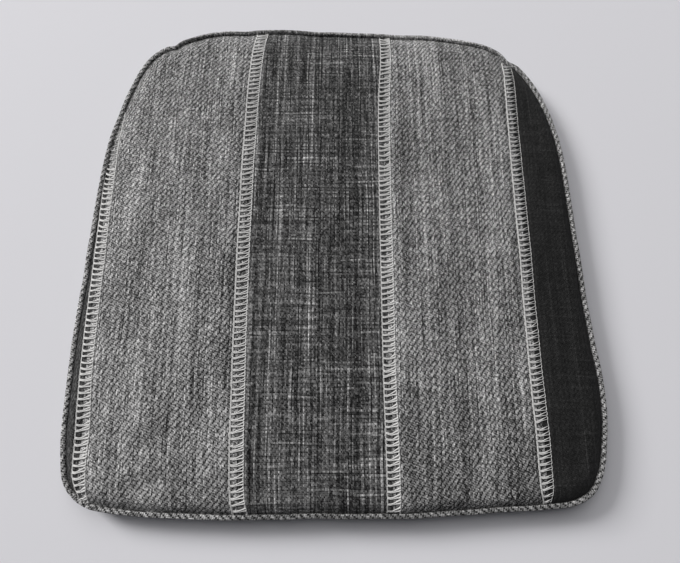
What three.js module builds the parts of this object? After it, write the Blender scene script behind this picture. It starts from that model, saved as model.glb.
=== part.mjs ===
import * as THREE from 'three';

// Chair cushion: a thin filled pad with a patchwork top, piped all round the edge seam.
// Millimetres, +Z up, +Y towards the back of the seat. It lies on its underside at z = 0.

// Piping and edge seam.
const PIPING_DIAMETER = 3.6;
const PIPING_SIDES = 12;
const PIPING_GAP = 0.3;
const SEAM_HEIGHT = 14;

// Filling: the top shoulder above the seam, the crown above the shoulder and the flat underside.
const SHOULDER_RISE = 4.9;
const SHOULDER_INSET = 15;
const CROWN_RISE = 7;
const UNDERSIDE_INSET = 12;

// Cut line of the pad, seen from above and walked anticlockwise from the middle of the front.
// heading is the direction of the edge in degrees, 0 along +X and 90 along +Y.
const OUTLINE = [
  { place: 'front middle', x: -30, y: -202, heading: 0 },
  { place: 'front right', x: 160, y: -194.5, heading: 4 },
  { place: 'right front corner', x: 193.5, y: -170, heading: 76 },
  { place: 'right widest', x: 200.5, y: -112, heading: 89 },
  { place: 'right front side', x: 196.3, y: -52, heading: 94 },
  { place: 'right middle', x: 193, y: 35, heading: 91 },
  { place: 'right back side', x: 183.8, y: 118.5, heading: 106 },
  { place: 'right back corner', x: 141.7, y: 182.5, heading: 149 },
  { place: 'back right', x: 88, y: 197, heading: 172 },
  { place: 'back middle', x: 20, y: 200.6, heading: 178 },
  { place: 'back left', x: -75, y: 203.8, heading: 181 },
  { place: 'left back corner', x: -158, y: 181, heading: 217 },
  { place: 'left back side', x: -180, y: 141, heading: 249 },
  { place: 'left middle', x: -198, y: 5, heading: 267 },
  { place: 'left widest', x: -201, y: -100, heading: 270 },
  { place: 'left front corner', x: -196.5, y: -171, heading: 281 },
  { place: 'front left', x: -150, y: -198.7, heading: 354 },
];

// Each stretch of the cut line is stepped finely where it turns and coarsely where it runs straight.
const TURN_PER_STEP = 7;
const LENGTH_PER_STEP = 28;

// Rings of the top and the underside. Near the edge they follow the cut line at an inset in mm,
// and further in they shrink towards the middle of the pad by a scale.
const SHOULDER_STEPS = 5;
const CROWN_SCALES = [0.82, 0.62, 0.42, 0.22];
const UNDERSIDE_STEPS = 5;

function heading(degrees) {
  const angle = THREE.MathUtils.degToRad(degrees);
  return new THREE.Vector2(Math.cos(angle), Math.sin(angle));
}

function turnBetween(from, to) {
  return THREE.MathUtils.euclideanModulo(to.heading - from.heading + 180, 360) - 180;
}

function stretch(from, to) {
  const start = new THREE.Vector2(from.x, from.y);
  const end = new THREE.Vector2(to.x, to.y);
  const bend = Math.cos(THREE.MathUtils.degToRad(turnBetween(from, to)) / 4);
  const reach = start.distanceTo(end) / 3 / bend ** 2;
  const leaving = start.clone().addScaledVector(heading(from.heading), reach);
  const arriving = end.clone().addScaledVector(heading(to.heading), -reach);
  return new THREE.CubicBezierCurve(start, leaving, arriving, end);
}

// Stations round the cut line, each with its point and the direction that points into the pad.
function cutLineStations() {
  const stations = [];
  OUTLINE.forEach((from, index) => {
    const to = OUTLINE[(index + 1) % OUTLINE.length];
    const curve = stretch(from, to);
    const byTurn = Math.abs(turnBetween(from, to)) / TURN_PER_STEP;
    const steps = Math.ceil(Math.max(byTurn, curve.getLength() / LENGTH_PER_STEP));
    for (let step = 0; step < steps; step += 1) {
      const tangent = curve.getTangent(step / steps);
      stations.push({ point: curve.getPoint(step / steps), inward: new THREE.Vector2(-tangent.y, tangent.x) });
    }
  });
  const box = new THREE.Box2().setFromPoints(stations.map((station) => station.point));
  const middle = box.getCenter(new THREE.Vector2());
  stations.forEach((station) => station.point.sub(middle));
  return stations;
}

// One ring round the pad: the cut line moved in by inset, then shrunk towards the middle by scale.
function ring(stations, { inset, scale = 1, height }) {
  return stations.map(({ point, inward }) => {
    const place = point.clone().addScaledVector(inward, inset).multiplyScalar(scale);
    return new THREE.Vector3(place.x, place.y, height);
  });
}

function meshGeometry(rings, triangles) {
  const geometry = new THREE.BufferGeometry();
  const places = rings.flat().flatMap((point) => point.toArray());
  geometry.setAttribute('position', new THREE.Float32BufferAttribute(places, 3));
  geometry.setIndex(triangles);
  geometry.computeVertexNormals();
  return geometry;
}

// Triangles of the band between ring number lower and ring number upper.
function band(lower, upper, count) {
  const triangles = [];
  for (let index = 0; index < count; index += 1) {
    const next = (index + 1) % count;
    const a = lower * count + index;
    const b = lower * count + next;
    const c = upper * count + next;
    const d = upper * count + index;
    triangles.push(a, b, c, a, c, d);
  }
  return triangles;
}

// Height of the covered filling above the seam, at a share of the way from the edge to full height.
function shoulderHeight(share) {
  return SHOULDER_RISE * share * (2 - share);
}

function crownHeight(scale) {
  return CROWN_RISE * (1 - scale ** 2);
}

// Section of the filled pad from the middle of its underside, round the edge, to the crown.
function padSection() {
  const radius = PIPING_DIAMETER / 2;
  const grooveRadius = (radius + PIPING_GAP) / Math.cos(Math.PI / 8);
  const grooveSide = grooveRadius * Math.SQRT1_2;
  const lip = radius + grooveSide;
  const underside = [];
  for (let step = 0; step < UNDERSIDE_STEPS; step += 1) {
    const angle = (Math.PI / 2) * (1 - step / UNDERSIDE_STEPS);
    const inset = lip + UNDERSIDE_INSET * (1 - Math.cos(angle));
    underside.push({ inset, height: (SEAM_HEIGHT - grooveSide) * (1 - Math.sin(angle)) });
  }
  const groove = [
    { inset: lip, height: SEAM_HEIGHT - grooveSide },
    { inset: radius + grooveRadius, height: SEAM_HEIGHT },
    { inset: lip, height: SEAM_HEIGHT + grooveSide },
  ];
  const shoulder = [];
  for (let step = 1; step <= SHOULDER_STEPS; step += 1) {
    const share = step / SHOULDER_STEPS;
    const height = SEAM_HEIGHT + grooveSide + shoulderHeight(share);
    shoulder.push({ inset: lip + (SHOULDER_INSET - lip) * share, height });
  }
  const top = shoulder[shoulder.length - 1];
  const crown = CROWN_SCALES.map((scale) => (
    { inset: top.inset, scale, height: top.height + crownHeight(scale) }
  ));
  return [...underside, ...groove, ...shoulder, ...crown];
}

function padGeometry(stations) {
  const rings = padSection().map((part) => ring(stations, part));
  const count = stations.length;
  const last = rings.length - 1;
  const triangles = [];
  for (let index = 0; index < last; index += 1) {
    triangles.push(...band(index, index + 1, count));
  }
  const flatOutline = rings[0].map((point) => new THREE.Vector2(point.x, point.y));
  THREE.ShapeUtils.triangulateShape(flatOutline, []).forEach(([a, b, c]) => triangles.push(c, b, a));
  const topHeight = rings[last][0].z + CROWN_RISE * CROWN_SCALES[CROWN_SCALES.length - 1] ** 2;
  const topPoint = rings.length * count;
  for (let index = 0; index < count; index += 1) {
    triangles.push(last * count + index, last * count + ((index + 1) % count), topPoint);
  }
  return meshGeometry([...rings, [new THREE.Vector3(0, 0, topHeight)]], triangles);
}

function pipingGeometry(stations) {
  const radius = PIPING_DIAMETER / 2;
  const rings = [];
  for (let side = 0; side < PIPING_SIDES; side += 1) {
    const angle = (2 * Math.PI * side) / PIPING_SIDES;
    const inset = radius - radius * Math.cos(angle);
    rings.push(ring(stations, { inset, height: SEAM_HEIGHT + radius * Math.sin(angle) }));
  }
  const triangles = [];
  rings.forEach((unused, side) => {
    triangles.push(...band(side, (side + 1) % PIPING_SIDES, stations.length));
  });
  return meshGeometry(rings, triangles);
}

function clothMesh(name, geometry, colour) {
  const material = new THREE.MeshStandardMaterial({ color: colour, roughness: 0.95, metalness: 0 });
  const mesh = new THREE.Mesh(geometry, material);
  mesh.name = name;
  return mesh;
}

const stations = cutLineStations();
const chairCushion = new THREE.Group();
chairCushion.add(clothMesh('cushion', padGeometry(stations), '#6f7072'));
chairCushion.add(clothMesh('piping', pipingGeometry(stations), '#55565a'));

export default chairCushion;
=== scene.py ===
import math

import bpy
import numpy as np
from mathutils import Matrix, Vector
from mathutils.bvhtree import BVHTree
from mathutils.geometry import delaunay_2d_cdt
from mathutils.kdtree import KDTree


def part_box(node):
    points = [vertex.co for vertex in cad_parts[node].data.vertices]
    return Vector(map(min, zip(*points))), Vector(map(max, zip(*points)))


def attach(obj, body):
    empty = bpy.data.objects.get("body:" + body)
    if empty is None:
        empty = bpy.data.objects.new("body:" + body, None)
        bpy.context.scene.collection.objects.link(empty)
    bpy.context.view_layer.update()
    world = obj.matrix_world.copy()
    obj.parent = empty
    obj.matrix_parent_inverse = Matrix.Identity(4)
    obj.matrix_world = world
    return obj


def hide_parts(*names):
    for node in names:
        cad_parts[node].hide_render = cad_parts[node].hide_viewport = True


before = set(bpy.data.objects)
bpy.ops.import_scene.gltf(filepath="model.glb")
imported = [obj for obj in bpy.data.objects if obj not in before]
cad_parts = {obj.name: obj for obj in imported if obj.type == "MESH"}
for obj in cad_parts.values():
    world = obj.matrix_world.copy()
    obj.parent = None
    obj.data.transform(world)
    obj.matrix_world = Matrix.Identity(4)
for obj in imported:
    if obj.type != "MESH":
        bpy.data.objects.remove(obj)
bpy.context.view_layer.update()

# The filled cushion: a thin foam pad inside a sewn cover. The top is pieced from five strips of
# denim that run from back to front, the underside is one plain piece, and both are drawn in to
# the edge seam, where the cloth puckers a little. Sizes and places are in millimetres.
MM = 0.001

# Cut line of the edge seam, walked anticlockwise: place, x, y, heading of the edge in degrees.
CUT_LINE = [
    ("front middle", -30, -202, 0),
    ("front right", 160, -194.5, 4),
    ("right front corner", 193.5, -170, 76),
    ("right widest", 200.5, -112, 89),
    ("right front side", 196.3, -52, 94),
    ("right middle", 193, 35, 91),
    ("right back side", 183.8, 118.5, 106),
    ("right back corner", 141.7, 182.5, 149),
    ("back right", 88, 197, 172),
    ("back middle", 20, 200.6, 178),
    ("back left", -75, 203.8, 181),
    ("left back corner", -158, 181, 217),
    ("left back side", -180, 141, 249),
    ("left middle", -198, 5, 267),
    ("left widest", -201, -100, 270),
    ("left front corner", -196.5, -171, 281),
    ("front left", -150, -198.7, 354),
]

# Where the edge was eased in as it was sewn: way round to the place, how far in, half its length.
# Everywhere else the stitching wanders by the wobble.
EASED = [
    (15, 0.9, 18),
    (85, -0.9, 25),
    (228, 1.0, 8),
    (273, -0.5, 18),
    (326, 0.8, 12),
    (398, -0.8, 18),
    (588, 2.4, 7),
    (613, -0.5, 10),
    (690, 1.4, 16),
    (763, 0.7, 11),
    (795, -0.5, 14),
    (829, 1.4, 10),
    (860, -0.4, 12),
    (894, 2.0, 5),
    (936, -0.6, 14),
    (983, 0.7, 18),
    (1124, 0.9, 13),
    (1302, -1.1, 12),
]
STITCHED_WOBBLE = 0.2
WOBBLE_LENGTH = 55

cord_low, cord_high = (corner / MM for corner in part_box("piping"))
PIPING_RADIUS = (cord_high.z - cord_low.z) / 2
SEAM_HEIGHT = (cord_high.z + cord_low.z) / 2
TOP_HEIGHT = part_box("cushion")[1].z / MM

# The cover hugs the piping at the seam, from the first angle round to the last, and clear of the
# cord. From the lip there it rises over the shoulder and crowns towards the middle. Underneath it
# curves in to the flat.
CORD_CLEARANCE = 0.2
HUG = PIPING_RADIUS + CORD_CLEARANCE
HUG_ANGLES = [3, -13, -29, -45]
LIP_INSET = PIPING_RADIUS + HUG * math.cos(math.radians(HUG_ANGLES[0]))
LIP_HEIGHT = SEAM_HEIGHT + HUG * math.sin(math.radians(HUG_ANGLES[0]))
SHOULDER_WIDTH = 11.5
SHOULDER_RISE = 6.6
CROWN_RISE = TOP_HEIGHT - LIP_HEIGHT - SHOULDER_RISE
UNDERSIDE_INSET = 12
UNDERSIDE_ANGLES = [72, 54, 36, 18, 0]

# Way round to where the shoulder starts to soften, is soft, starts to firm up and is firm again.
# It is soft along the back and the left, where the foam lies a little further from the seam. There
# the shoulder is this much wider, and its rise is bent by this much.
SOFT_STRETCH = (520, 600, 990, 1180)
SOFT_WIDTH = 4
SOFT_BEND = 0.6

# The cover blown up like cloth: width of a voxel, size to start from, how far under the seam it is
# held, air pressure, number of frames, furthest that a point may move, and how far in from the lip
# all of the swell shows.
VOXEL = 6
SLACK_SIZE = 0.99
HELD_UNDER_SEAM = 1
PRESSURE = 1
FRAMES = 20
SWELL_CAP = 3
SWELL_REACH = 14

# Puckers beside the seam: height, spacing, how far from the lip they are full, how far in they fade.
PUCKER_HEIGHT = 0.32
PUCKER_SPACING = 11
PUCKER_START = 2.5
PUCKER_REACH = 8

# Loose cloth over the filling: rows of height, spacing and seed, and how far from the lip it is full.
LOOSENESS = [(0.45, 75, 7), (0.12, 24, 8)]
LOOSE_START = 12

# Seams between the strips of the top, from back to front: y, x of the middle, width of the stitches
# and where in that width the strips join. The strip at the far left runs out under its stitches.
SEAMS = {
    "far_left": [
        (119, -185.2, 8.9, 0.0),
        (90, -186.6, 9.1, 0.05),
        (60, -186.7, 10.0, 0.35),
        (0, -186.1, 10.0, 0.45),
        (-90, -184.5, 9.6, 0.45),
        (-140, -182.4, 9.8, 0.45),
        (-164, -181.3, 9.8, 0.45),
        (-175, -180.5, 9.8, 0.45),
        (-183, -179.1, 8.4, 0.45),
        (-192, -176.8, 6.0, 0.45),
    ],
    "left": [
        (198, -65.7, 9.4, 0.50),
        (168, -67.9, 9.6, 0.50),
        (98, -70.2, 9.4, 0.50),
        (0, -71.0, 9.3, 0.50),
        (-100, -70.2, 9.5, 0.50),
        (-160, -69.1, 9.8, 0.50),
        (-190, -67.9, 9.8, 0.50),
        (-200, -66.3, 10.2, 0.50),
    ],
    "right": [
        (196, 43.6, 8.5, 0.45),
        (168, 43.4, 8.6, 0.45),
        (128, 41.0, 9.0, 0.45),
        (40, 39.7, 9.0, 0.45),
        (-40, 39.8, 9.2, 0.45),
        (-110, 40.0, 8.8, 0.45),
        (-165, 41.2, 9.0, 0.45),
        (-200, 41.6, 9.0, 0.45),
    ],
    "far_right": [
        (168, 150.8, 7.9, 0.55),
        (148, 149.9, 8.3, 0.55),
        (99, 148.5, 8.8, 0.55),
        (0, 147.9, 8.9, 0.55),
        (-100, 147.6, 9.0, 0.55),
        (-150, 148.6, 9.3, 0.55),
        (-169, 148.9, 9.0, 0.55),
        (-181, 149.2, 8.5, 0.55),
        (-194, 150.1, 4.0, 0.55),
    ],
}

# The stitches pull the cloth down by the dip. It fades out over the reach to each side, runs on a
# little past the rows above, and is full from its start in from the lip.
SEAM_DIP = 0.8
DIP_REACH = 2.2
DIP_OVERRUN = 2
DIP_START = 4


def facing(degrees):
    """The direction at that many degrees from +X towards +Y."""
    return np.array([math.cos(math.radians(degrees)), math.sin(math.radians(degrees))])


def rise(distance, reach):
    """From 0 to 1 as a distance goes from none to the reach, and level before and after."""
    return np.clip(distance / reach, 0, 1)


def smooth_rise(distance, reach):
    """The same, but starting and ending gently."""
    share = rise(distance, reach)
    return share * share * (3 - 2 * share)


def ripples(distance, around, wavelength, seed, waves=12):
    """A smooth random wave round a closed line, near -1 to 1, with crests about a wavelength apart."""
    dice = np.random.default_rng(seed)
    turns = np.rint(around / wavelength * dice.uniform(0.6, 1.5, waves))
    phases = dice.uniform(0, math.tau, waves)
    heights = np.sin(math.tau * np.outer(distance / around, turns) + phases)
    return heights.sum(1) / math.sqrt(2 * waves)


def dapples(places, wavelength, seed, waves=14):
    """A smooth random field over the plan, near -1 to 1, with humps about a wavelength apart."""
    dice = np.random.default_rng(seed)
    angles = dice.uniform(0, math.tau, waves)
    turns = dice.uniform(0.6, 1.5, waves) / wavelength
    phases = dice.uniform(0, math.tau, waves)
    heights = np.sin(math.tau * (places @ np.array([np.cos(angles), np.sin(angles)])) * turns + phases)
    return heights.sum(1) / math.sqrt(2 * waves)


def cut_line(step):
    """Points of the edge seam about a step apart, the inward direction at each, the way round to each
    and the whole way round."""
    # A cubic curve runs from each place of the cut line to the next, and follows their headings.
    stretches = []
    share = np.linspace(0, 1, 200, endpoint=False)[:, None]
    for here, there in zip(CUT_LINE, CUT_LINE[1:] + CUT_LINE[:1]):
        start, end = np.array(here[1:3], float), np.array(there[1:3], float)
        turn = (there[3] - here[3] + 180) % 360 - 180
        reach = np.linalg.norm(end - start) / 3 / math.cos(math.radians(turn) / 4) ** 2
        leaving = start + reach * facing(here[3])
        arriving = end - reach * facing(there[3])
        early = (1 - share) ** 3 * start + 3 * (1 - share) ** 2 * share * leaving
        late = 3 * (1 - share) * share**2 * arriving + share**3 * end
        stretches.append(early + late)
    curve = np.concatenate(stretches)
    curve += np.array((cord_low + cord_high)[:2]) / 2 - (curve.min(0) + curve.max(0)) / 2
    curve = np.vstack([curve, curve[:1]])

    # It is walked in even steps, with the direction that points inward at each.
    length = np.concatenate([[0], np.cumsum(np.linalg.norm(np.diff(curve, axis=0), axis=1))])
    count = round(length[-1] / step)
    distance = np.arange(count) * length[-1] / count
    points = np.column_stack([np.interp(distance, length, curve[:, axis]) for axis in (0, 1)])
    ahead = np.roll(points, -1, axis=0) - np.roll(points, 1, axis=0)
    ahead /= np.linalg.norm(ahead, axis=1)[:, None]
    inward = np.column_stack([-ahead[:, 1], ahead[:, 0]])

    # The stitching wanders in and out of it.
    sewn = STITCHED_WOBBLE * ripples(distance, length[-1], WOBBLE_LENGTH, seed=3)
    for place, depth, reach in EASED:
        sewn += depth * np.exp(-(((distance - place) / reach) ** 2))
    return points + inward * sewn[:, None], inward, distance, length[-1]


fine_edge, fine_inward, fine_distance, EDGE_LENGTH = cut_line(0.5)
edge_tree = KDTree(len(fine_edge))
for index, (x, y) in enumerate(fine_edge):
    edge_tree.insert((x, y, 0), index)
edge_tree.balance()


def nearest_edge(places):
    """How far in from the edge seam each plan place is, and the nearest point of the fine edge."""
    found = [edge_tree.find((x, y, 0)) for x, y in places]
    return np.array([hit[2] for hit in found]), np.array([hit[1] for hit in found])


def smooth_along(y, rows, column):
    """Value of a column of a seam's table at y, on a smooth curve through its rows."""
    ys = np.array([row[0] for row in rows][::-1], float)
    values = np.array([row[column] for row in rows][::-1], float)
    slopes = np.gradient(values, ys)
    at = np.clip(np.searchsorted(ys, y) - 1, 0, len(ys) - 2)
    gap = ys[at + 1] - ys[at]
    share = np.clip((y - ys[at]) / gap, -0.2, 1.2)
    change = values[at + 1] - values[at]
    start_bend = slopes[at] * gap - change
    end_bend = change - slopes[at + 1] * gap
    bend = share * (1 - share) * (start_bend * (1 - share) + end_bend * share)
    return values[at] + change * share + bend


def seam_threads(name, y):
    """The x of a seam's left thread and right thread at each y."""
    middle = smooth_along(y, SEAMS[name], 1)
    width = smooth_along(y, SEAMS[name], 2)
    return middle - width / 2, middle + width / 2


def seam_join(name, y):
    """The x at which the two strips of a seam meet at each y."""
    left, right = seam_threads(name, y)
    return left + smooth_along(y, SEAMS[name], 3) * (right - left)


def shoulder(inset, soft=0):
    """Height over the lip at each inset from the edge seam. A soft shoulder rises later and further in."""
    share = rise(inset - LIP_INSET, SHOULDER_WIDTH + SOFT_WIDTH * soft)
    return SHOULDER_RISE * (share * (2 - share)) ** (1 + SOFT_BEND * soft)


lip_ring = fine_edge + LIP_INSET * fine_inward
lip_angle = np.arctan2(lip_ring[:, 1], lip_ring[:, 0])
lip_order = np.argsort(lip_angle)


def pad_surface(pad, places):
    """The pad with its corners at those places and subdivided once, as a tree to drop rays on."""
    pad.data.vertices.foreach_set("co", places.ravel())
    pad.data.update()
    smooth = pad.modifiers.new("smooth", "SUBSURF")
    fine = pad.evaluated_get(bpy.context.evaluated_depsgraph_get()).to_mesh()
    corners = [corner.co / MM for corner in fine.vertices]
    surface = BVHTree.FromPolygons(corners, [tuple(face.vertices) for face in fine.polygons])
    pad.modifiers.remove(smooth)
    return surface


def blown_up():
    """The top of the pad before and after its cover is blown up, held at the seam and underneath."""
    pad = bpy.data.objects.new("blown_up_pad", bpy.data.objects["cushion"].data.copy())
    bpy.context.scene.collection.objects.link(pad)
    bpy.context.view_layer.objects.active = pad
    pad.select_set(True)
    voxels = pad.modifiers.new("voxels", "REMESH")
    voxels.mode = "VOXEL"
    voxels.voxel_size = VOXEL * MM
    bpy.ops.object.modifier_apply(modifier="voxels")
    pad.data.transform(Matrix.Scale(SLACK_SIZE, 4))
    slack = np.array([corner.co for corner in pad.data.vertices])
    sewn = pad.vertex_groups.new(name="sewn")
    held = np.flatnonzero(slack[:, 2] < (SEAM_HEIGHT - HELD_UNDER_SEAM) * MM)
    sewn.add([int(index) for index in held], 1, "REPLACE")
    cloth = pad.modifiers.new("cloth", "CLOTH")
    cloth.settings.quality = 4
    cloth.settings.tension_stiffness = 80
    cloth.settings.compression_stiffness = 80
    cloth.settings.shear_stiffness = 25
    cloth.settings.use_pressure = True
    cloth.settings.uniform_pressure_force = PRESSURE
    cloth.settings.effector_weights.gravity = 0
    cloth.settings.vertex_group_mass = "sewn"
    for number in range(1, FRAMES + 1):
        bpy.context.scene.frame_set(number)
    bpy.ops.object.modifier_apply(modifier="cloth")
    full = np.array([corner.co for corner in pad.data.vertices])
    moved = np.linalg.norm(full - slack, axis=1)[:, None] / MM
    full = slack + (full - slack) * SWELL_CAP * np.tanh(moved / SWELL_CAP) / np.maximum(moved, 1e-6)
    surfaces = [pad_surface(pad, places) for places in (slack, full)]
    bpy.context.scene.frame_set(1)
    bpy.data.objects.remove(pad)
    return surfaces


pad_surfaces = blown_up()


def swell(places):
    """Height that the blown-up cover gains at each place, a share of the way from the middle to
    the lip."""
    heights = np.zeros((2, len(places)))
    for row, surface in enumerate(pad_surfaces):
        for index, (x, y) in enumerate(places):
            hit = surface.ray_cast((x, y, 2 * TOP_HEIGHT), (0, 0, -1))[0]
            heights[row, index] = hit.z if hit else 0
    return (heights[1] - heights[0]) * (heights.min(0) > SEAM_HEIGHT)


def crown(places, inset):
    """Height that the filling adds over the shoulder, from none at the lip to all in the middle."""
    angle = np.arctan2(places[:, 1], places[:, 0])
    reach = np.linalg.norm(lip_ring, axis=1)[lip_order]
    reach = np.interp(angle, lip_angle[lip_order], reach, period=math.tau)
    share = np.clip(np.linalg.norm(places, axis=1) / reach, 0, 1)
    swollen = swell(places) * smooth_rise(inset - LIP_INSET, SWELL_REACH)
    return (CROWN_RISE - SWELL_CAP) * (1 - share**2) + swollen


def pulled_down(places):
    """1 between the two outer threads of a seam, fading to 0 a little way outside them."""
    pulled = np.zeros(len(places))
    for name, rows in SEAMS.items():
        left, right = seam_threads(name, places[:, 1])
        outside = np.maximum(left - places[:, 0], places[:, 0] - right)
        back, front = rows[0][0] + DIP_OVERRUN, rows[-1][0] - DIP_OVERRUN
        reached = (places[:, 1] < back) & (places[:, 1] > front)
        pulled = np.maximum(pulled, reached * smooth_rise(DIP_REACH - outside, DIP_REACH))
    return pulled


def cover_height(places):
    """Height of the top of the cover at each plan place."""
    inset, station = nearest_edge(places)
    away = inset - LIP_INSET
    soft = np.interp(fine_distance[station], SOFT_STRETCH, (0, 1, 1, 0))
    pucker = PUCKER_HEIGHT * ripples(fine_distance, EDGE_LENGTH, PUCKER_SPACING, seed=5)[station]
    pucker = pucker * rise(away, PUCKER_START) * np.exp(-((away / PUCKER_REACH) ** 2))
    loose = sum(height * dapples(places, spacing, seed) for height, spacing, seed in LOOSENESS)
    dip = SEAM_DIP * pulled_down(places) * rise(away, DIP_START)
    uneven = pucker + loose * rise(away, LOOSE_START) - dip
    return LIP_HEIGHT + shoulder(inset, soft) + crown(places, inset) + uneven


def paved(boundary, lines, spacing):
    """Triangles that cover a closed boundary, about a spacing wide, with edges along the lines.
    Gives the places, the triangles, and where each boundary point went."""
    places = [tuple(place) for place in boundary]
    edges = [(index, (index + 1) % len(places)) for index in range(len(places))]
    for line in lines:
        first = len(places)
        places.extend(tuple(place) for place in line)
        edges.extend((first + index, first + index + 1) for index in range(len(line) - 1))
    tree = KDTree(len(places))
    for index, (x, y) in enumerate(places):
        tree.insert((x, y, 0), index)
    tree.balance()
    low, high = boundary.min(0), boundary.max(0)
    row_spacing = spacing * math.sqrt(0.75)
    clearance = 0.62 * spacing
    for row, y in enumerate(np.arange(low[1], high[1], row_spacing)):
        for x in np.arange(low[0] + (row % 2) * spacing / 2, high[0], spacing):
            if tree.find((x, y, 0))[2] > clearance:
                places.append((x, y))
    cut = delaunay_2d_cdt([Vector(place) for place in places], edges, [], 1, 1e-5)
    used = sorted({corner for triangle in cut[2] for corner in triangle})
    order = {old: new for new, old in enumerate(used)}
    went = {given: order[out] for out in used for given in cut[3][out]}
    found = np.array([cut[0][old] for old in used])
    triangles = [tuple(order[corner] for corner in triangle) for triangle in cut[2]]
    return found, triangles, [went[index] for index in range(len(boundary))]


def inside(places, least):
    """Whether each plan place lies at least that far in from the edge seam."""
    inset, station = nearest_edge(places)
    inner = np.einsum("ij,ij->i", places - fine_edge[station], fine_inward[station]) > 0
    return (inset > least) & inner


# The mesh of the cover has edges along loops this far in from the lip, along the joins, and this
# far outside the stitches. A join goes straight to the lip from a little way off, and the lines
# beside the stitches end a little further from it.
COVER_SPACING = 2.0
UNDERSIDE_SPACING = 7.0
LOOPS = (0.35, 0.9, 1.7, 2.8, 4.3, 6.2, 8.6)
BESIDE_STITCHES = (2.1, 1.1, 0.1)
JOIN_END = 0.8
BESIDE_END = 1.5
edge, inward, distance, _ = cut_line(COVER_SPACING)
lip = edge + LIP_INSET * inward

lines = []
for further in LOOPS:
    loop = edge + (LIP_INSET + further) * inward
    lines.append(np.vstack([loop, loop[:1]]))
for name in SEAMS:
    y = np.arange(-200, 202, COVER_SPACING)
    y = y[(y < SEAMS[name][0][0]) & (y > SEAMS[name][-1][0])]
    left, right = seam_threads(name, y)
    join = np.column_stack([seam_join(name, y), y])
    join = join[inside(join, LIP_INSET + JOIN_END)]
    ends = [lip[np.argmin(np.linalg.norm(lip - join[end], axis=1))] for end in (0, -1)]
    lines.append(np.vstack([ends[0], join, ends[1]]))
    for aside in BESIDE_STITCHES:
        for x in (left - aside, right + aside):
            line = np.column_stack([x, y])
            lines.append(line[inside(line, LIP_INSET + BESIDE_END)])

top_places, top_triangles, top_lip = paved(lip, lines, COVER_SPACING)
top_heights = cover_height(top_places)

# From the lip the cover goes on down round the cord and in underneath, ring by ring, to the flat.
corners = [np.column_stack([top_places, top_heights])]
faces = list(top_triangles)
ring = list(top_lip)
sections = []
for degrees in HUG_ANGLES[1:]:
    angle = math.radians(degrees)
    sections.append((PIPING_RADIUS + HUG * math.cos(angle), SEAM_HEIGHT + HUG * math.sin(angle)))
low_lip = sections[-1]
for degrees in UNDERSIDE_ANGLES:
    angle = math.radians(degrees)
    tuck = UNDERSIDE_INSET * (1 - math.cos(math.radians(90) - angle))
    sections.append((low_lip[0] + tuck, low_lip[1] * (1 - math.cos(angle))))
first = len(top_places)
for inset, height in sections:
    corners.append(np.column_stack([edge + inset * inward, np.full(len(edge), height)]))
    below = list(range(first, first + len(edge)))
    first += len(edge)
    for index in range(len(edge)):
        following = (index + 1) % len(edge)
        faces.append((ring[index], below[index], below[following], ring[following]))
    ring = below
flat_places, flat_triangles, flat_ring = paved(edge + sections[-1][0] * inward, [], UNDERSIDE_SPACING)
flat_order = dict(zip(flat_ring, ring))
flat_inner = [index for index in range(len(flat_places)) if index not in flat_order]
flat_order.update({old: first + new for new, old in enumerate(flat_inner)})
corners.append(np.column_stack([flat_places[flat_inner], np.zeros(len(flat_inner))]))
faces.extend(tuple(flat_order[corner] for corner in reversed(triangle)) for triangle in flat_triangles)
corners = np.concatenate(corners)


def shoulder_stretch(inset):
    """How much longer the cloth is than its plan, from the top of the shoulder out to an inset."""
    insets = np.linspace(LIP_INSET, LIP_INSET + SHOULDER_WIDTH, 400)
    steps = np.hypot(np.diff(insets), np.diff(shoulder(insets))) - np.diff(insets)
    extra = np.concatenate([[0], np.cumsum(steps)])
    return extra[-1] - np.interp(inset, insets, extra)


# The cloth's own places, which its weave follows, are its plan with the slopes laid out flat.
cushion_mesh = bpy.data.meshes.new("cushion_cover")
cushion_mesh.from_pydata(corners * MM, [], faces)
inset, station = nearest_edge(corners[:, :2])
wall = np.array([*sections[: -len(UNDERSIDE_ANGLES) - 1 : -1], low_lip])
wall_extra = np.cumsum(np.hypot(*np.diff(wall, axis=0).T) + np.diff(wall[:, 0]))
wall_stretch = np.interp(corners[:, 2], wall[1:, 1], wall_extra, left=0)
underneath = corners[:, 2] < low_lip[1] + 0.01
stretch = np.where(underneath, wall_stretch, shoulder_stretch(inset))
cloth_places = corners[:, :2] - fine_inward[station] * stretch[:, None]
cloth = cushion_mesh.attributes.new("cloth", "FLOAT_VECTOR", "POINT")
cloth.data.foreach_set("vector", np.column_stack([cloth_places, np.zeros(len(corners))]).ravel())
cushion_mesh.shade_smooth()
cushion = bpy.data.objects.new("filled_cushion", cushion_mesh)
bpy.context.scene.collection.objects.link(cushion)


class Wire:
    """A shader socket that takes part in ordinary sums, each of which adds a Math node."""

    def __init__(self, finish, socket):
        self.finish = finish
        self.socket = socket

    def __add__(self, other):
        return self.finish.maths("ADD", self, other)

    def __radd__(self, other):
        return self.finish.maths("ADD", other, self)

    def __sub__(self, other):
        return self.finish.maths("SUBTRACT", self, other)

    def __rsub__(self, other):
        return self.finish.maths("SUBTRACT", other, self)

    def __mul__(self, other):
        return self.finish.maths("MULTIPLY", self, other)

    def __rmul__(self, other):
        return self.finish.maths("MULTIPLY", other, self)

    def __truediv__(self, other):
        return self.finish.maths("DIVIDE", self, other)

    def __pow__(self, other):
        return self.finish.maths("POWER", self, other)


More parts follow.
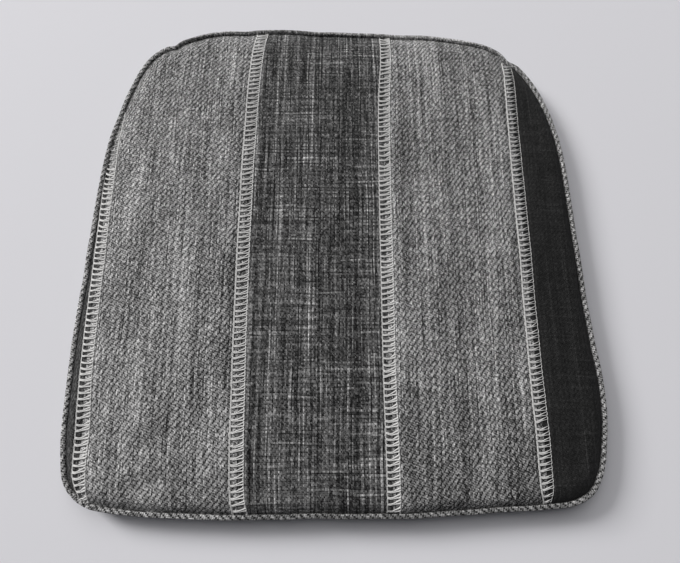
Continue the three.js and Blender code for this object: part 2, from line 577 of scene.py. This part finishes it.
class Finish:
    """A material and the ways to add to it. Lengths inside it are millimetres of cloth."""

    def __init__(self, name, roughness, sheen):
        self.material = bpy.data.materials.new(name)
        self.material.use_nodes = True
        self.tree = self.material.node_tree
        self.shader = self.tree.nodes["Principled BSDF"]
        self.shader.inputs["Roughness"].default_value = roughness
        self.shader.inputs["Specular IOR Level"].default_value = 0.25
        self.shader.inputs["Sheen Weight"].default_value = sheen
        self.shader.inputs["Sheen Roughness"].default_value = 0.5

    def feed(self, socket, value):
        """Links a socket to a value that changes over the surface, or sets it to a plain one."""
        if isinstance(value, Wire):
            self.tree.links.new(value.socket, socket)
        else:
            socket.default_value = value

    def node(self, kind, settings, sockets, output=0):
        """One output of a new node, whose settings are made first and then its sockets."""
        made = self.tree.nodes.new("ShaderNode" + kind)
        for name, value in settings.items():
            setattr(made, name, value)
        for name, value in sockets.items():
            self.feed(made.inputs[name], value)
        return Wire(self, made.outputs[output])

    def maths(self, operation, *values):
        return self.node("Math", {"operation": operation}, dict(enumerate(values)))

    def floor(self, value):
        return self.maths("FLOOR", value)

    def part(self, value):
        return self.maths("FRACT", value)

    def wave(self, turns):
        return self.maths("SINE", turns * math.tau)

    def step_up(self, value, start, end):
        """From 0 where a value is at the start to 1 where it is at the end, gently."""
        settings = {"interpolation_type": "SMOOTHSTEP"}
        return self.node("MapRange", settings, {"Value": value, "From Min": start, "From Max": end})

    def cloth_place(self):
        """Where a point is on the cloth: across the warp, along the warp, and how much shade is painted on
        it.
        """
        place = self.node("Attribute", {"attribute_name": "cloth"}, {}, "Vector")
        return [self.node("SeparateXYZ", {}, {0: place}, axis) for axis in "XYZ"]

    def speckle(self, across, along, layer):
        """A value from -1 to 1 that jumps wherever a place does, so whole numbers give it its cells."""
        place = self.node("CombineXYZ", {}, {0: across, 1: along, 2: layer})
        return self.node("TexWhiteNoise", {"noise_dimensions": "3D"}, {"Vector": place}, "Value") * 2 - 1

    def cloud(self, across, along, layer, detail=0.0):
        """A soft value, mostly between -0.5 and 0.5, with lumps about one unit across."""
        place = self.node("CombineXYZ", {}, {0: across, 1: along, 2: layer})
        sockets = {"Vector": place, "Scale": 1.0, "Detail": detail}
        return self.node("TexNoise", {"noise_dimensions": "3D"}, sockets, "Fac") * 2 - 1

    def colour(self, share, dark, light):
        return self.node("Mix", {"data_type": "RGBA"}, {0: share, 6: (*dark, 1), 7: (*light, 1)}, 2)

    def surface(self, colour, height, depth):
        """Gives the finish its colour, and a relief of that depth where the height goes from 0 to 1."""
        self.feed(self.shader.inputs["Base Color"], colour)
        normal = self.node("Bump", {}, {"Strength": 1.0, "Distance": depth * MM, "Height": height})
        self.feed(self.shader.inputs["Normal"], normal)


# Where shade is painted on the cloth, it is darker by this share.
PAINTED_SHADE_SHARE = 0.22


def denim(
    name, seed, tone, warp_pitch, pick_pitch, repeat,
    twill, flecks, streaks, bands, wefts, slubs, worn, lighter_to_back=0,
):
    """Denim with its threads that far apart in millimetres, and a twill that repeats after some picks.
    The tone is 0 for black and 1 for white. Shares of it are how strongly the twill's ridges, flecks
    at the crossings, streaks and bands of warp threads, single wefts, slubs and worn patches show,
    and how much lighter the cloth gets over 100 mm towards the back."""
    finish = Finish(name, roughness=0.92, sheen=0.04)
    across, along, painted_shade = finish.cloth_place()

    # The warp threads and the picks are numbered, and wander a little out of line.
    warp = (across + 0.9 * finish.cloud(across / 30, along / 45, seed + 0.1)) / warp_pitch
    pick = (along + 1.4 * finish.cloud(across / 28, along / 24, seed + 0.2)) / pick_pitch
    warp_number = finish.floor(warp)
    pick_number = finish.floor(pick)
    yarn = finish.wave(finish.part(warp) / 2)

    # Twill ridges step one pick up at each warp thread.
    turns = (pick - warp_number) / repeat
    ridge = finish.wave(turns) + 0.6 * finish.wave(turns * 2 + 0.25) + 0.7 * finish.wave(turns * 3 + 0.5)

    # Every crossing, and every quarter of one, has its own tone, with frayed borders.
    fray = finish.cloud(across * 3, along * 3, seed + 6, detail=2.0)
    frayed_warp = warp + 0.9 * fray
    frayed_pick = pick - 0.9 * fray
    cells = finish.speckle(finish.floor(frayed_warp), finish.floor(frayed_pick), seed)
    grain = finish.speckle(finish.floor(frayed_warp * 2), finish.floor(frayed_pick * 2), seed + 1)

    # Single threads are lighter or darker over some length, and so are bands of them.
    warp_tone = finish.cloud(warp_number * 5.37, along / 45, seed)
    warp_tone = warp_tone + 0.4 * finish.speckle(warp_number, 0.0, seed)
    banding = finish.cloud(across / 6, along / 90, seed)
    banding = banding + 1.4 * finish.cloud(across / 19, along / 150, seed)
    weft_tone = finish.cloud(across / 45, pick_number * 4.13, seed)
    weft_tone = weft_tone + 0.3 * finish.speckle(0.0, pick_number, seed)

    # Slubs are thick, light stretches of some of the threads both ways.
    slub_yarn = finish.step_up(finish.speckle(warp_number, 0.0, seed + 2), 0.2, 1.0)
    slub_run = finish.step_up(finish.cloud(warp_number * 3.71, along / 110, seed + 3), -0.05, 0.25)
    weft_slub = finish.step_up(finish.cloud(across / 50, pick_number * 6.29, seed + 4), 0.28, 0.46)
    thick = slub_yarn * slub_run * (1 + 0.4 * finish.wave(along / 3)) + 0.48 * weft_slub

    # The cloth is worn lighter in broad patches.
    rubbed = finish.cloud(across / 34, along / 120, seed + 5, detail=1.0)
    level = 1 + twill * ridge + flecks * (0.6 * cells + 0.5 * grain) + streaks * warp_tone
    level = level + bands * banding + slubs * thick + worn * rubbed + lighter_to_back * (along / 100)
    # Each warp thread is painted lighter along its middle and darker at its sides: painted shade of its
    # roundness.
    level = level + 0.2 * (yarn - 0.64)
    # Painted shade darkens the cloth by a share where its place says so, which is along the front of the
    # piping.
    level = level * (1 + wefts * weft_tone) * (1 - PAINTED_SHADE_SHARE * painted_shade)
    shade = finish.maths("MAXIMUM", tone * level, 0.02) ** 2.2
    height = 0.5 * yarn + 0.35 * ridge + 0.2 * cells + 0.5 * slubs * thick
    finish.surface(finish.colour(shade, (0, 0, 0), (1.0, 0.985, 0.975)), height, 0.18)
    return finish.material


light_left = denim(
    "light_twill_left", seed=11, tone=0.475, warp_pitch=1.02, pick_pitch=1.33, repeat=4,
    twill=0.29, flecks=0.70, streaks=0.42, bands=0.12, wefts=0.09, slubs=0.0, worn=0.42, lighter_to_back=-0.015,
)
light_right = denim(
    "light_twill_right", seed=23, tone=0.459, warp_pitch=0.94, pick_pitch=1.29, repeat=4,
    twill=0.31, flecks=0.74, streaks=0.46, bands=0.12, wefts=0.09, slubs=0.0, worn=0.40, lighter_to_back=0.025,
)
dark_slub = denim(
    "dark_slub", seed=39, tone=0.295, warp_pitch=0.98, pick_pitch=1.28, repeat=3,
    twill=0.06, flecks=0.85, streaks=0.78, bands=0.08, wefts=0.38, slubs=0.85, worn=0.14, lighter_to_back=-0.03,
)
near_black = denim(
    "near_black", seed=41, tone=0.147, warp_pitch=0.9, pick_pitch=1.1, repeat=4,
    twill=0.05, flecks=0.45, streaks=0.24, bands=0.10, wefts=0.15, slubs=0.35, worn=0.16,
)
dark_tweed = denim(
    "dark_tweed", seed=53, tone=0.24, warp_pitch=1.04, pick_pitch=1.33, repeat=4,
    twill=0.15, flecks=0.80, streaks=0.20, bands=0.1, wefts=0.10, slubs=0.0, worn=0.1,
)
plain_underside = denim(
    "plain_underside", seed=61, tone=0.20, warp_pitch=1.04, pick_pitch=1.33, repeat=4,
    twill=0.25, flecks=0.40, streaks=0.12, bands=0.05, wefts=0.08, slubs=0.0, worn=0.1,
)
strips = [dark_tweed, light_left, dark_slub, light_right, near_black]
for material in (*strips, plain_underside):
    cushion_mesh.materials.append(material)

centres = np.zeros(len(cushion_mesh.polygons) * 3)
cushion_mesh.polygons.foreach_get("center", centres)
centres = centres.reshape(-1, 3) / MM
strip = np.zeros(len(centres), int)
for name in SEAMS:
    strip += centres[:, 0] > seam_join(name, centres[:, 1])
strip[centres[:, 2] < SEAM_HEIGHT] = len(strips)
cushion_mesh.polygons.foreach_set("material_index", strip)
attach(cushion, "root")
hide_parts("cushion")

# The piping: a cotton cord wrapped in a strip of denim whose twill winds round it like a rope. It is
# caught in the edge seam all the way round, which presses it a little square. The back stretch is a
# second strip, cut from the dark denim and joined on near the two back corners.
PIPING_SIDES = 16
SQUARENESS = 3.8

# Lumps of the cord, and the pinch at each end of the dark strip: share of the radius and spacing or
# reach. The strip is given as ways round the edge.
CORD_LUMPS = 0.03
LUMP_SPACING = 9
BACK_STRIP = (588, 894)
JOIN_PINCH = 0.12
JOIN_REACH = 3

# Shade is painted along the front of the piping: way round to its middle, how far to each side of it that
# reaches, and over what length it starts.
FRONT_MIDDLE = 80
PAINTED_SHADE_REACH = 150
PAINTED_SHADE_END = 40
cord_edge, cord_inward, cord_distance, _ = cut_line(1.0)
pinched = sum(np.exp(-(((cord_distance - join) / JOIN_REACH) ** 2)) for join in BACK_STRIP)
lumps = ripples(cord_distance, EDGE_LENGTH, LUMP_SPACING, seed=21)
cord_radius = PIPING_RADIUS * (1 + CORD_LUMPS * lumps - JOIN_PINCH * pinched)
from_front = np.abs((cord_distance - FRONT_MIDDLE + EDGE_LENGTH / 2) % EDGE_LENGTH - EDGE_LENGTH / 2)
painted_shade = rise(PAINTED_SHADE_REACH - from_front, PAINTED_SHADE_END)
painted_shade = [*painted_shade, painted_shade[0]]
ways_round = [*cord_distance, EDGE_LENGTH]

# The cord is a ring of corners for each side of its section, a rounded square. The last ring is the
# first one again, where the cloth that is wrapped round it ends.
count = len(cord_edge)
corners = []
cloth_corners = []
for side in range(PIPING_SIDES + 1):
    angle = math.tau * side / PIPING_SIDES
    inner, upper = math.cos(angle), math.sin(angle)
    pressed = (abs(inner) ** SQUARENESS + abs(upper) ** SQUARENESS) ** (-1 / SQUARENESS)
    inset = PIPING_RADIUS + cord_radius * inner * pressed
    height = SEAM_HEIGHT + cord_radius * upper * pressed
    corners.append(np.column_stack([cord_edge + inset[:, None] * cord_inward, height]))
    cloth_corners.append([(PIPING_RADIUS * angle, *rest) for rest in zip(ways_round, painted_shade)])
faces = []
cloth = []
for side in range(PIPING_SIDES):
    above = (side + 1) % PIPING_SIDES
    for index in range(count):
        following = (index + 1) % count
        here, there = side * count, above * count
        faces.append((here + index, here + following, there + following, there + index))
        cloth.extend(cloth_corners[side][index : index + 2])
        cloth.extend(cloth_corners[side + 1][index : index + 2][::-1])
piping_mesh = bpy.data.meshes.new("piping_cord")
piping_mesh.from_pydata(np.concatenate(corners[:-1]) * MM, [], faces)
piping_mesh.attributes.new("cloth", "FLOAT_VECTOR", "CORNER").data.foreach_set("vector", np.ravel(cloth))
piping_mesh.shade_smooth()
piping_mesh.materials.append(
    denim(
        "piping_twill", seed=71, tone=0.48, warp_pitch=1.04, pick_pitch=1.33, repeat=4,
        twill=0.46, flecks=0.70, streaks=0.15, bands=0.1, wefts=0.10, slubs=0.0, worn=0.30,
    )
)
piping_mesh.materials.append(
    denim(
        "piping_dark", seed=77, tone=0.47, warp_pitch=0.98, pick_pitch=1.0, repeat=3,
        twill=0.10, flecks=0.70, streaks=0.50, bands=0.2, wefts=0.40, slubs=0.5, worn=0.5,
    )
)
at_back = [BACK_STRIP[0] < place < BACK_STRIP[1] for place in cord_distance] * PIPING_SIDES
piping_mesh.polygons.foreach_set("material_index", np.array(at_back, int))
piping = bpy.data.objects.new("piping_round_edge", piping_mesh)
bpy.context.scene.collection.objects.link(piping)
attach(piping, "root")
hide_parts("piping")

# The ladder seams: four flat overlocked seams in light grey thread that join the strips edge to
# edge. In each stitch a doubled thread crosses from the chain on the left past the join, parts and
# climbs to the straight needle thread on the right.
STRAND_SIDES = 6
LADDER_WIDTH = 9.2

# The distance from stitch to stitch, and the radii of the chain, of the doubled thread, of its two
# halves and of the needle thread. Skew is how far towards the back a stitch's left end lies from its
# right end, once the lean that begins at LEAN_FROM has grown over LEAN_REACH.
STITCHES = {
    "far_left": {"pitch": 4.47, "chain": 0.26, "rung": 0.44, "leg": 0.68, "needle": 0.56, "skew": 4.2},
    "left": {"pitch": 4.41, "chain": 0.36, "rung": 0.42, "leg": 0.46, "needle": 0.50, "skew": 0},
    "right": {"pitch": 4.34, "chain": 0.22, "rung": 0.42, "leg": 0.62, "needle": 0.54, "skew": 0},
    "far_right": {"pitch": 4.27, "chain": 0.34, "rung": 0.40, "leg": 0.18, "needle": 0.19, "skew": 0},
}
LEAN_FROM = -130
LEAN_REACH = 180

# The far left seam runs into the edge seam at the back. From this y on its stitches are sunk in the
# cloth there, and show only as fine as this share of their thickness.
SUNK_FROM = {"far_left": 66}
SUNK_SHARE = 0.45

# A strand runs on past the lip by this much, and is left out where fewer places than this are left.
PAST_LIP = 0.3
FEWEST_PLACES = 4


def smooth_path(points, step):
    """Rows about a step apart on a smooth curve through the given rows."""
    points = np.array(points, float)
    before = np.vstack([2 * points[0] - points[1], points, 2 * points[-1] - points[-2]])
    found = []
    for a, b, c, d in zip(before, before[1:], before[2:], before[3:]):
        count = max(1, round(np.linalg.norm((c - b)[:3]) / step))
        t = (np.arange(count) / count)[:, None]
        bend = (2 * a - 5 * b + 4 * c - d) * t**2 + (3 * b - 3 * c + d - a) * t**3
        found.append(b + 0.5 * ((c - a) * t + bend))
    return np.concatenate([*found, points[-1:]])


class Strands:
    """Thread laid as round tubes over the cover, gathered into one mesh. A path's rows are the place to
    the right of the left thread, out of the ladder's width, the place along y, the height over the
    cover and the strand's radius."""

    def __init__(self, seam, skew):
        self.seam = seam
        self.skew = skew
        self.corners = []
        self.faces = []
        self.cloth = []
        self.count = 0

    def lay(self, path, step=0.6):
        path = smooth_path(path, step)
        aside, along, over, radius = path.T
        left, right = seam_threads(self.seam, along)
        leaning = self.skew * rise(along - LEAN_FROM, LEAN_REACH) * (1 - aside / LADDER_WIDTH)
        places = np.column_stack([left + aside / LADDER_WIDTH * (right - left), along + leaning])
        keep = inside(places, LIP_INSET - PAST_LIP)
        if keep.sum() < FEWEST_PLACES:
            return

        # The tube has a ring of corners round each place, square to the way that the strand runs.
        path = np.column_stack([places, cover_height(places) + over])[keep]
        radius = radius[keep, None, None]
        ahead = np.gradient(path, axis=0)
        ahead /= np.linalg.norm(ahead, axis=1)[:, None]
        sideways = np.cross(ahead, (0, 0, 1))
        sideways /= np.linalg.norm(sideways, axis=1)[:, None]
        upward = np.cross(sideways, ahead)
        angles = (math.tau * np.arange(STRAND_SIDES) / STRAND_SIDES)[None, :, None]
        spokes = np.cos(angles) * sideways[:, None] + np.sin(angles) * upward[:, None]
        self.corners.append((path[:, None] + radius * spokes).reshape(-1, 3))

        # Its faces carry how far along the strand and how far round it they lie.
        length = np.concatenate([[0], np.cumsum(np.linalg.norm(np.diff(path, axis=0), axis=1))])
        for index in range(len(path) - 1):
            low = self.count + index * STRAND_SIDES
            high = low + STRAND_SIDES
            for side in range(STRAND_SIDES):
                other = (side + 1) % STRAND_SIDES
                self.faces.append((low + side, high + side, high + other, low + other))
                for far, turn in ((0, side), (1, side), (1, side + 1), (0, side + 1)):
                    self.cloth.append((length[index + far], turn / STRAND_SIDES, 0))
        for end in (0, len(path) - 1):
            cap = [self.count + end * STRAND_SIDES + side for side in range(STRAND_SIDES)]
            self.faces.append(tuple(cap if end == 0 else reversed(cap)))
            self.cloth.extend([(length[end], 0, 0)] * STRAND_SIDES)
        self.count += len(path) * STRAND_SIDES

    def piece(self, name, material):
        mesh = bpy.data.meshes.new(name)
        mesh.from_pydata(np.concatenate(self.corners) * MM, [], self.faces)
        cloth = mesh.attributes.new("cloth", "FLOAT_VECTOR", "CORNER")
        cloth.data.foreach_set("vector", np.ravel(self.cloth))
        mesh.shade_smooth()
        mesh.materials.append(material)
        thing = bpy.data.objects.new(name, mesh)
        bpy.context.scene.collection.objects.link(thing)
        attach(thing, "root")


thread = Finish("light_grey_thread", roughness=0.7, sheen=0.1)
thread_length, thread_turn, _ = thread.cloth_place()
ply = thread.wave(thread_length / 1.1 + thread_turn)
fuzz = thread.cloud(thread_length * 2, thread_turn * 3, 5)
# The thread is painted lighter on the crowns of its twisted plies and darker in the grooves between them:
# painted shade that follows its relief. The fuzz varies its tone at random.
thread.surface(thread.colour(0.72 + 0.08 * ply + 0.1 * fuzz, (0, 0, 0), (1.0, 0.985, 0.965)), ply, 0.05)

for number, (name, stitch) in enumerate(STITCHES.items()):
    dice = np.random.default_rng(100 + number)
    strands = Strands(name, stitch["skew"])

    # Knots lie up the seam from the front to the back, one for each stitch.
    back, *_, front = [row[0] for row in SEAMS[name]]
    knots = [front - 1.0]
    while knots[-1] < back:
        knots.append(knots[-1] + stitch["pitch"] * dice.normal(1, 0.045))

    needle = []
    for low, high in zip(knots, knots[1:]):
        # No two stitches are alike in thickness, tilt and sag, in where the thread parts, or in how
        # far its halves lie apart on the left and on the right.
        pitch = high - low
        shows = SUNK_SHARE if low > SUNK_FROM.get(name, math.inf) else 1
        rung = shows * stitch["rung"] * dice.uniform(0.88, 1.12)
        leg = shows * stitch["leg"] * dice.uniform(0.85, 1.15)
        tilt = dice.normal(0, 0.10) * pitch
        sag = dice.normal(0.30, 0.12)
        parting = dice.uniform(3.7, 4.8)
        gap = (rung - 0.06) * dice.uniform(0.85, 1.15)
        level = dice.uniform(0.06, 0.20) * pitch
        climb = dice.uniform(0.50, 0.68) * pitch

        # The thread crosses, parts, and its halves climb to a bight that is held by the needle thread.
        leaving = [
            (0, low - gap, 0.25, rung),
            (parting / 2, low - gap - sag + tilt / 2, 0.45, rung),
            (parting, low - gap + tilt, 0.45, rung),
            (7.4, low + tilt + level / 2, 0.40, leg),
            (9.1, low + tilt + level, 0.60, leg),
        ]
        returning = [
            (9.5, low + tilt + (level + climb) / 2, 0.25, leg),
            (9.1, low + tilt + climb, 0.60, leg),
            (7.6, low + tilt + climb * 0.75, 0.40, leg),
            (parting + 0.9, low + tilt + climb * 0.3, 0.45, rung),
            (parting, low + gap + tilt, 0.50, rung),
            (parting / 2, low + gap - sag + tilt / 2, 0.45, rung),
            (0, low + gap, 0.30, rung),
        ]
        strands.lay(leaving + returning)

        # Two strands of the chain run side by side from this knot to the next.
        bulge = dice.uniform(0.20, 0.36)
        for side in (-bulge, bulge):
            loop = [
                (0, low, 0.50),
                (side - 0.1, low + 0.35 * pitch, 0.40),
                (side - 0.1, low + 0.70 * pitch, 0.40),
                (0, high + 0.1 * pitch, 0.50),
            ]
            strands.lay([(*point, stitch["chain"]) for point in loop])
        needle.extend([(9.1, low, 0.25, stitch["needle"]), (9.3, low + pitch / 2, 0.45, stitch["needle"])])
    strands.lay(needle, step=0.8)
    strands.piece(name + "_ladder_seam", thread.material)

# The stage: a pale floor, two soft lights behind to the left like a low and a high window, and a
# camera held over the front half of the cushion, tipped back a little.
bpy.ops.mesh.primitive_plane_add(size=6)
floor = bpy.context.object
floor.name = "floor"
floor_finish = Finish("pale_floor", roughness=0.9, sheen=0.0)
floor_finish.shader.inputs["Base Color"].default_value = (0.80, 0.79, 0.82, 1)
floor.data.materials.append(floor_finish.material)


def soft_light(name, bearing, elevation, distance, wide, tall, power):
    """A rectangle of light aimed at the cushion. Its bearing is in degrees from the back to the left."""
    data = bpy.data.lights.new(name, "AREA")
    data.shape = "RECTANGLE"
    data.size = wide
    data.size_y = tall
    data.energy = power
    light = bpy.data.objects.new(name, data)
    back, left = facing(bearing) * math.cos(math.radians(elevation))
    light.location = Vector((-left, back, math.sin(math.radians(elevation)))) * distance
    light.rotation_euler = light.location.to_track_quat("Z", "Y").to_euler()
    bpy.context.scene.collection.objects.link(light)


soft_light("low_window", bearing=56, elevation=28, distance=9, wide=2.5, tall=3.1, power=688)
soft_light("high_window", bearing=17, elevation=55, distance=6, wide=7.2, tall=5.2, power=190)
world = bpy.data.worlds.new("room")
world.use_nodes = True
world.node_tree.nodes["Background"].inputs["Color"].default_value = (0.9, 0.93, 1.0, 1)
world.node_tree.nodes["Background"].inputs["Strength"].default_value = 0.075
bpy.context.scene.world = world
bpy.context.scene.view_settings.view_transform = "Standard"

camera_data = bpy.data.cameras.new("camera")
camera_data.lens = 25.94
camera_data.sensor_width = 36
camera = bpy.data.objects.new("camera", camera_data)
camera.location = (0.00375, -0.12354, 0.3886)
camera.rotation_euler = (math.radians(14), 0, 0)
bpy.context.scene.collection.objects.link(camera)
bpy.context.scene.camera = camera
